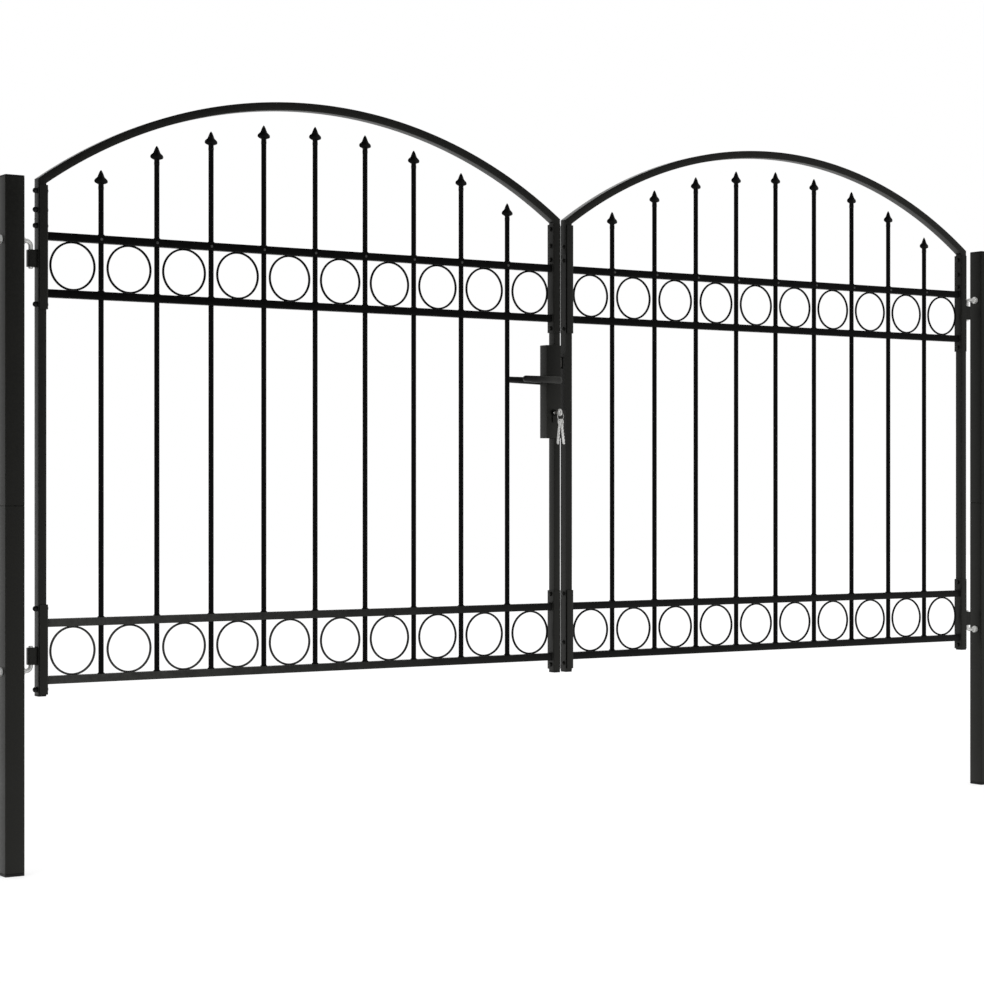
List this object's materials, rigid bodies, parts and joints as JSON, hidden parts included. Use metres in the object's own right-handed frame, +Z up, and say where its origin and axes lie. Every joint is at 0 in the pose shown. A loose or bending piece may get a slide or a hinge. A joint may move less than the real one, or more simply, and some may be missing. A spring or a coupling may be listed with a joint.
{
  "type": "double steel gate",
  "caption": "Black double-leaf garden gate of round pickets with spear points, ring bands and arched heads, hung on hook bolts between square posts, with a lever lock.",
  "frame": {"origin": "centre of the left post's foot, on the flat underside of its cap", "axes": "+X along the closed gate from the left post to the right one, +Y away from the side with the keys, +Z up"},
  "size_m": [3.0424, 0.0911, 1.7519],
  "materials": {
    "black_coat": "semi-matt powder coat",
    "cast_black": "cast, powder coated",
    "black_plastic": "moulded",
    "zinc_plate": "bright zinc plate",
    "lever_black": "satin black",
    "nickel": "satin nickel",
    "key_steel": "bright nickel"
  },
  "bodies": {
    "posts": {"left_post_lower": "black_coat", "left_post_upper": "black_coat", "left_post_foot_cap": "black_plastic", "left_post_top_cap": "black_plastic", "left_upper_hinge_hook": "zinc_plate", "left_lower_hinge_hook": "zinc_plate", "left_hinge_nuts": "zinc_plate", "right_post_lower": "black_coat", "right_post_upper": "black_coat", "right_post_foot_cap": "black_plastic", "right_post_top_cap": "black_plastic", "right_upper_hinge_hook": "zinc_plate", "right_lower_hinge_hook": "zinc_plate", "right_hinge_nuts": "zinc_plate"},
    "left_leaf": {"left_hinge_barrels": "black_coat", "left_hinge_stile": "black_coat", "left_stile_plugs": "black_plastic", "left_arch": "black_coat", "left_sleeves": "black_coat", "left_upper_ring_band": "black_coat", "left_lower_ring_band": "black_coat", "left_pickets": "black_coat", "left_spear_points": "cast_black", "left_lower_meeting_stile": "black_coat", "left_upper_meeting_stile": "black_coat", "lock_case": "black_coat", "lock_cylinder": "lever_black", "latch_bolt": "nickel", "lock_key": "key_steel", "spare_keys": "key_steel"},
    "right_leaf": {"right_hinge_barrels": "black_coat", "right_hinge_stile": "black_coat", "right_stile_plugs": "black_plastic", "right_arch": "black_coat", "right_sleeves": "black_coat", "right_upper_ring_band": "black_coat", "right_lower_ring_band": "black_coat", "right_pickets": "black_coat", "right_spear_points": "cast_black", "right_meeting_stile": "black_coat", "strike_plate": "black_coat"},
    "lever": {"front_lever": "lever_black", "back_lever": "lever_black", "lever_spindle": "zinc_plate"}
  },
  "joints": [
    {"name": "left_leaf_swing", "type": "hinge", "parent": "posts", "child": "left_leaf", "pos_m": [0.0455, 0, 0.9], "axis": [0, 0, 1], "range_deg": [0, 90]},
    {"name": "right_leaf_swing", "type": "hinge", "parent": "posts", "child": "right_leaf", "pos_m": [2.8999, 0, 0.9], "axis": [0, 0, -1], "range_deg": [0, 90]},
    {"name": "lever_press", "type": "hinge", "parent": "left_leaf", "child": "lever", "pos_m": [1.442, 0, 1.118], "axis": [0, -1, 0], "range_deg": [0, 45], "stiffness_Nm_per_rad": 0.8, "springref_deg": -51.57}
  ]
}
